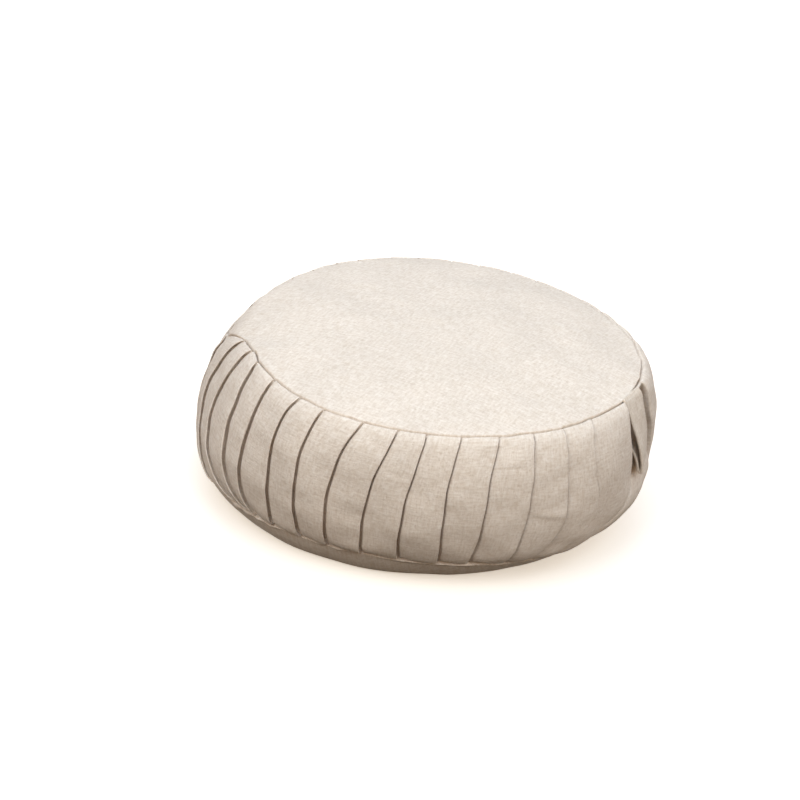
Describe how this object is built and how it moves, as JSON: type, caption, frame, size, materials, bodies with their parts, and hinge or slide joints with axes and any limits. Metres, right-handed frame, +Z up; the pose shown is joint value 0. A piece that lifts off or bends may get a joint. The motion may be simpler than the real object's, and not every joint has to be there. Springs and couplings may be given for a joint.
{
  "type": "round pleated floor cushion",
  "caption": "Round pleated meditation cushion in natural linen, with a crowned top, a knife-pleated band, a flat base and a folded strap handle sewn into the top seam",
  "frame": {"origin": "centre of the flat foot of the base panel, on the surface the cushion rests on", "axes": "+Z up, through the crown of the top panel; +X toward the side with the carry handle; +Y completes the right-handed frame"},
  "size_m": [0.3582, 0.3593, 0.13],
  "materials": {
    "linen_cover": "woven natural linen blend, matt, pale oatmeal",
    "linen_strap": "the cover's linen folded double into a flat strap, matt"
  },
  "bodies": {
    "root": {"cushion_body": "linen_cover", "carry_handle": "linen_strap"}
  },
  "joints": []
}
